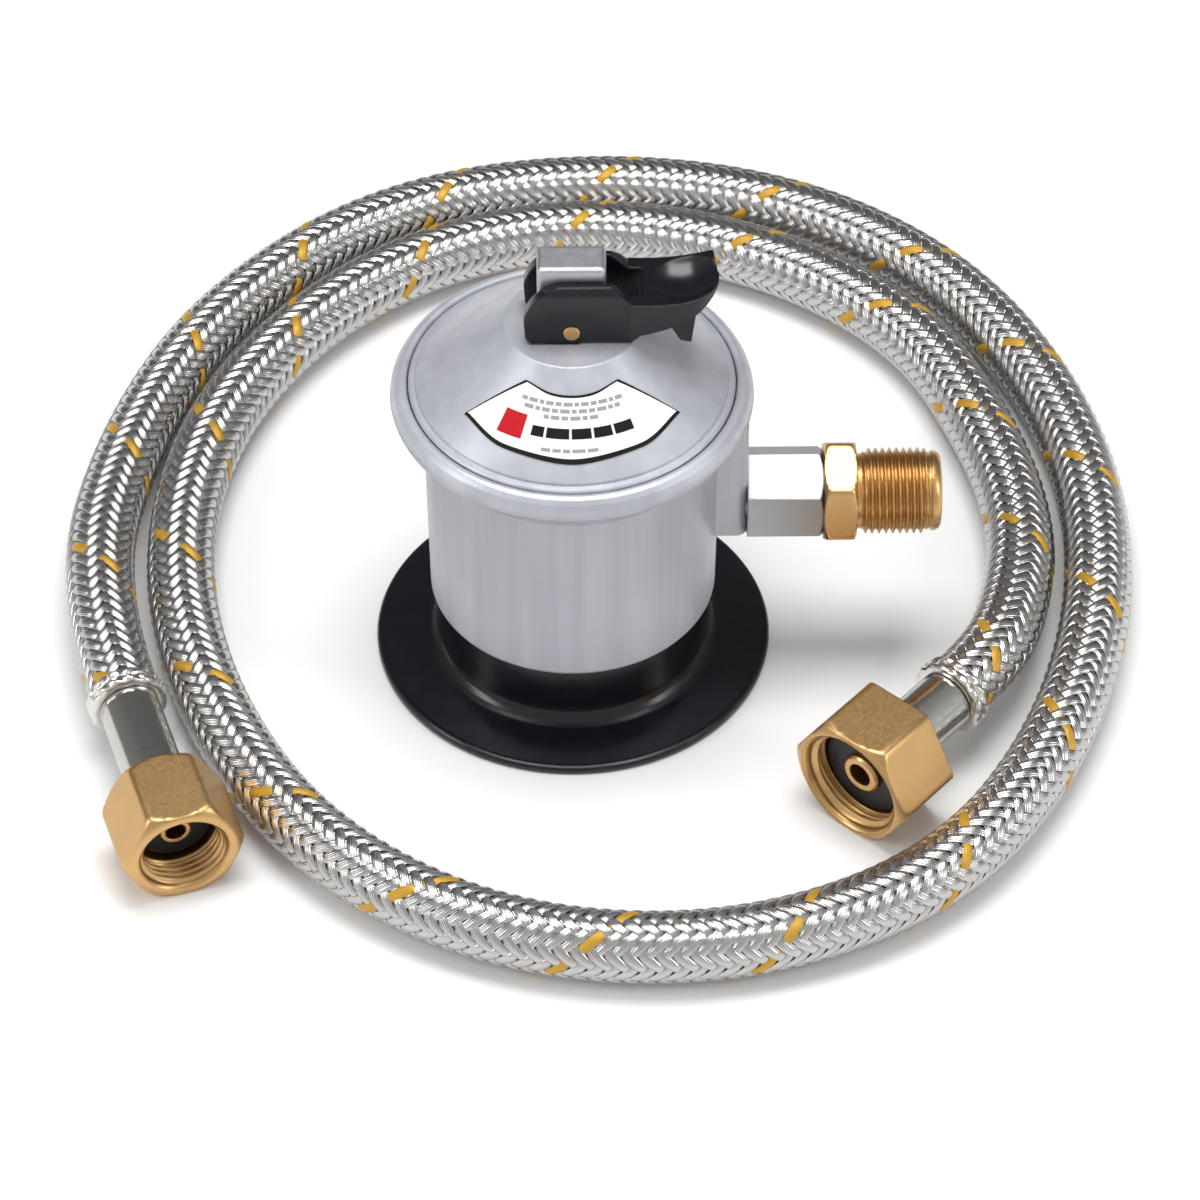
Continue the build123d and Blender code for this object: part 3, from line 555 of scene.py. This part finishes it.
def hexagon_rows(flats, turn, start, stop, round_stop=True, size=1.0):
    """Rings of a hexagonal bar. A rounded end is cut back by a curved chamfer."""
    corner = flats / math.sqrt(3)
    reach = flats / 2 * CHAMFER_REACH
    chamfer = [(depth * size, hexagon(flats, turn, reach + share * (corner - reach)))
               for depth, share in CHAMFER_STEPS]
    rows = [(start + depth, radius) for depth, radius in chamfer]
    if round_stop:
        return rows + [(stop - depth, radius) for depth, radius in reversed(chamfer)]
    whole, cut = hexagon(flats, turn, corner), hexagon(flats, turn, corner - EDGE_CUT)
    return rows + [(stop - EDGE_DEPTH, whole), (stop, cut)]


def union_nut(name, thread, flats, length, thread_end, shoulder, neck_r, rear_r, rear_depth, round_rear):
    """Union nut on +X, with its mouth at 0. Its thread is a major and a minor radius, and a pitch."""
    major, minor, pitch = thread
    bore, relief = neck_r + NECK_GAP, minor + THREAD_RELIEF
    outside = [
        (0.0, flats / 2 * NUT_LIP_SHARE),
        *hexagon_rows(flats, NUT_TURN, NUT_LIP, length, round_rear, NUT_CHAMFER_SIZE),
    ]
    inside = [
        (length, rear_r), (length - rear_depth, rear_r), (length - rear_depth, bore),
        (shoulder, bore), (shoulder, relief), (thread_end + THREAD_RELIEF, relief),
    ]
    turns = thread_rows(NUT_THREAD_START, thread_end, major, minor, pitch)
    mouth = [(depth, major + growth) for depth, growth in NUT_MOUTH]
    return lathe(name, outside + inside + turns[::-1] + mouth, NUT_BRASS)


def wire_ring(name, start):
    """End ring: two bright twisted strands round the end of the braid."""
    def strand(offset, hand):
        def radius(angles):
            bulge = math.sqrt(1 - offset**2)
            twist = np.cos(TWIST_COUNT * angles + hand * TWIST_SLANT * offset)
            return STRAND_SEAT_R + bulge * (STRAND_RISE + TWIST_DEPTH * twist)
        return radius
    front = start - RING_OVERLAP
    inside = front + RING_LIP
    rows = [(front, RING_BORE_R), (front, RING_FACE_R)]
    for place, hand in STRANDS:
        rows += [(front + place + offset, strand(offset, hand)) for offset in STRAND_STEPS]
    rows += [(front + RING_LENGTH, RING_INNER_R), (inside, RING_INNER_R), (inside, RING_BORE_R)]
    return lathe(name, rows, RING_STEEL, segments=RING_SEGMENTS, sharp=60)


def outlet_fitting():
    """Brass outlet: hexagon, relief neck, pipe thread and tapered nose."""
    rows = [
        (OUTLET_SPIGOT_X, OUTLET_BORE_R), (OUTLET_SPIGOT_X, OUTLET_SPIGOT_R),
        (SOCKET_END_X, OUTLET_SPIGOT_R), (SOCKET_END_X, OUTLET_FACE_R),
        *hexagon_rows(OUTLET_FLATS, OUTLET_TURN, OUTLET_HEX_X, OUTLET_HEX_END_X),
        *OUTLET_NECK,
        *thread_rows(OUTLET_THREAD_X, OUTLET_THREAD_END_X, OUTLET_ROOT_R, OUTLET_CREST_R, G38_PITCH),
        *OUTLET_NOSE,
        (OUTLET_END_X, OUTLET_MOUTH_R), (OUTLET_FLARE_X, OUTLET_BORE_R),
    ]
    fitting = lathe("outlet_brass", rows, BRASS)
    fitting.data.transform(Matrix.Translation((0, 0, OUTLET_Z * MM)))
    return fitting


def on_cone(x, y, lift):
    """Point on the cap's cone under plan position (x, y), lifted square to it by lift."""
    height = CONE_Z + (CONE_R - math.hypot(x, y)) * CONE_SLOPE
    return (x * MM, y * MM, (height + lift * math.hypot(1, CONE_SLOPE)) * MM)


def along_curve(points, share):
    """Smooth curve through three or more plan points, at a share of its length."""
    position = share * (len(points) - 1)
    index = min(int(position), len(points) - 2)
    t = position - index
    p0 = points[max(index - 1, 0)]
    p1, p2 = points[index], points[index + 1]
    p3 = points[min(index + 2, len(points) - 1)]
    return tuple(
        0.5 * (2 * b + (c - a) * t + (2 * a - 5 * b + 4 * c - d) * t * t + (3 * b - a - 3 * c + d) * t**3)
        for a, b, c, d in zip(p0, p1, p2, p3))


def patch(name, inner, outer, lift, material, columns=48, rows=8):
    """Thin sheet on the cone between an inner and an outer plan curve."""
    verts = []
    for column in range(columns + 1):
        near, far = along_curve(inner, column / columns), along_curve(outer, column / columns)
        for row in range(rows + 1):
            share = row / rows
            x, y = (a + (b - a) * share for a, b in zip(near, far))
            verts.append(on_cone(x, y, lift))
    quads = grid_faces(columns + 1, rows + 1)[:, ::-1]
    return mesh_object(name, verts, quads.tolist(), material)


def arc(radius, start, stop):
    """Plan points round the cap's axis, between two angles in degrees from -Y."""
    angles = [math.radians(start + (stop - start) * k / (ARC_POINTS - 1)) for k in range(ARC_POINTS)]
    return [(radius * math.sin(a), -radius * math.cos(a)) for a in angles]


def block(name, radii, span, material, columns, rows):
    """Printed block between two radii and two angles."""
    inner, outer = (arc(radius, *span) for radius in radii)
    return patch(name, inner, outer, INK_LIFT, material, columns, rows)


def build_label():
    """White printed film with plain generic marks in place of a maker's print."""
    pieces = [
        patch("label_edge", EDGE_TOP, EDGE_FOOT, EDGE_LIFT, INK_BLACK),
        patch("label_face", FACE_TOP, FACE_FOOT, FACE_LIFT, FILM),
    ]
    for line, (radius, half) in enumerate(PRINT_LINES):
        radii = (radius - PRINT_LINE_HALF, radius + PRINT_LINE_HALF)
        start = -half
        word = 0
        while start < half - PRINT_SHORTEST:
            stop = min(start + PRINT_WORDS[(word + line) % len(PRINT_WORDS)], half)
            pieces.append(block(f"label_line_{line}_{word}", radii, (start, stop), INK_GREY, 6, 1))
            start = stop + PRINT_WORD_GAP
            word += 1
    pieces.append(block("label_red", RED_RADII, RED_SPAN, INK_RED, 10, 4))
    for word, span in enumerate(PRINT_BARS):
        pieces.append(block(f"label_bar_{word}", BAR_RADII, span, INK_BLACK, 10, 2))
    for word, span in enumerate(PRINT_NOTES):
        pieces.append(block(f"label_note_{word}", NOTE_RADII, span, INK_GREY, 6, 1))
    return pieces


def join(pieces, name):
    """One object from several."""
    bpy.ops.object.select_all(action="DESELECT")
    for piece in pieces:
        piece.select_set(True)
    bpy.context.view_layer.objects.active = pieces[0]
    bpy.ops.object.join()
    pieces[0].name = name
    return pieces[0]


def stands_for(thing, node, body):
    """Hides the CAD node that a rebuilt piece stands for and attaches the piece to a body."""
    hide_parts(node)
    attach(thing, body)
    return thing


def spring_that_shortens(node, name):
    """Copy of a CAD spring that stands in for it, attached to the regulator."""
    source = nodes_by_name[node]
    spring = add_object(name, source.data.copy())
    spring.data.transform(source.matrix_world)
    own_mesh(spring)
    return stands_for(spring, node, "regulator")


def build_diaphragm():
    """Rubber disc that moves with its hub, and the rim that stays clamped under the cap."""
    low, high = DIAPHRAGM_LOW, DIAPHRAGM_HIGH
    under = [(low + drop, radius) for drop, radius in DIAPHRAGM_ROLL]
    over = [(high + drop, radius) for drop, radius in reversed(DIAPHRAGM_ROLL)]
    disc = lathe("diaphragm_disc", [
        (low, DISC_R), *under, (low, DIAPHRAGM_BORE_R), (high, DIAPHRAGM_BORE_R), *over, (high, DISC_R),
    ], RUBBER)
    rim = lathe("diaphragm_rim", [(low, RIM_IN_R), (low, RIM_R), (high, RIM_R), (high, RIM_IN_R)], RUBBER)
    for thing in (disc, rim):
        thing.data.transform(Matrix.Rotation(-math.pi / 2, 4, "Y"))
    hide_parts("diaphragm")
    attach(disc, "diaphragm")
    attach(rim, "regulator")


spring_that_shortens("collar_spring", "collar_spring_coil")
spring_that_shortens(
    "regulating_spring", "regulating_spring_coil")
build_diaphragm()
left_nut = union_nut(
    "left_nut_brass", (G38_MAJOR_R, G38_MINOR_R, G38_PITCH), flats=21.0, length=17.0,
    thread_end=6.4, shoulder=12.3, neck_r=4.6, rear_r=7.3, rear_depth=3.0, round_rear=True)
right_nut = union_nut(
    "right_nut_brass", (G12_MAJOR_R, G12_MINOR_R, G12_PITCH), flats=24.0, length=15.0,
    thread_end=4.6, shoulder=9.3, neck_r=4.8, rear_r=6.5, rear_depth=1.2, round_rear=False)
stands_for(seat(left_nut, LEFT_MOUTH, LEFT_HEADING), "left_union_nut", "left_nut")
stands_for(seat(right_nut, RIGHT_MOUTH, RIGHT_HEADING), "right_union_nut", "right_nut")
left_ring = seat(wire_ring("left_wire_ring", LEFT_HOSE_START), LEFT_MOUTH, LEFT_HEADING)
right_ring = seat(wire_ring("right_wire_ring", RIGHT_HOSE_START), RIGHT_MOUTH, RIGHT_HEADING)
stands_for(left_ring, "left_end_ring", "hose")
stands_for(right_ring, "right_end_ring", "hose")
stands_for(outlet_fitting(), "outlet_fitting", "regulator")
stands_for(join(build_label(), "label"), "cap_label", "regulator")

braid = stands_for(build_braid(), "hose_braid", "hose")
liner = stands_for(build_liner(), "hose_liner", "hose")


# ------------------------------------------------------------------ floor, light, camera
def build_stage():
    """White floor, which isn't part of the object."""
    bpy.ops.mesh.primitive_plane_add(size=8)
    floor = bpy.context.object
    floor.name = "floor"
    floor.data.materials.append(new_material("floor_white", (0.93, 0.93, 0.93), 0.0, 0.7)[0])


def area_light(name, location, target, size, power):
    """White rectangular lamp that faces a target."""
    light = bpy.data.lights.new(name, "AREA")
    light.shape = "RECTANGLE"
    light.size, light.size_y = size
    light.energy = power
    lamp = add_object(name, light)
    lamp.location = location
    lamp.rotation_euler = (Vector(target) - Vector(location)).to_track_quat("-Z", "Y").to_euler()


def build_light():
    """Bright studio, darker at the back so that level surfaces read grey."""
    world = bpy.data.worlds.new("studio")
    bpy.context.scene.world = world
    world.use_nodes = True
    nodes, links = world.node_tree.nodes, world.node_tree.links
    background = nodes["Background"]
    place = nodes.new("ShaderNodeTexCoord")
    split = nodes.new("ShaderNodeSeparateXYZ")
    links.new(place.outputs["Generated"], split.inputs["Vector"])
    shade = nodes.new("ShaderNodeMapRange")
    shade.inputs["From Min"].default_value = -0.1
    shade.inputs["From Max"].default_value = 0.6
    shade.inputs["To Min"].default_value = 0.6
    shade.inputs["To Max"].default_value = 0.16
    links.new(split.outputs["Y"], shade.inputs["Value"])
    background.inputs["Color"].default_value = (1, 1, 1, 1)
    links.new(shade.outputs["Result"], background.inputs["Strength"])
    area_light("top", (0.0, 0.1, 0.95), (0, 0.02, 0), (0.62, 0.42), 6.6)
    area_light("left", (-0.8, -0.25, 0.5), (0, 0, 0.03), (0.22, 0.6), 2.2)
    area_light("right", (0.8, -0.3, 0.45), (0, 0, 0.03), (0.18, 0.5), 1.8)


def build_camera():
    """Long lens from in front and above, with yaw and pitch in radians."""
    camera = add_object("camera", bpy.data.cameras.new("camera"))
    camera.data.sensor_width = 36
    camera.data.lens = 154.06
    camera.location = (-0.0014, -0.7129, 0.7239)
    yaw, pitch = 0.0094, 0.7868
    look = Vector((math.sin(yaw) * math.cos(pitch), math.cos(yaw) * math.cos(pitch), -math.sin(pitch)))
    camera.rotation_euler = look.to_track_quat("-Z", "Y").to_euler()
    camera.data.clip_start = 0.01
    bpy.context.scene.camera = camera


build_stage()
build_light()
build_camera()
bpy.context.scene.view_settings.view_transform = "Standard"
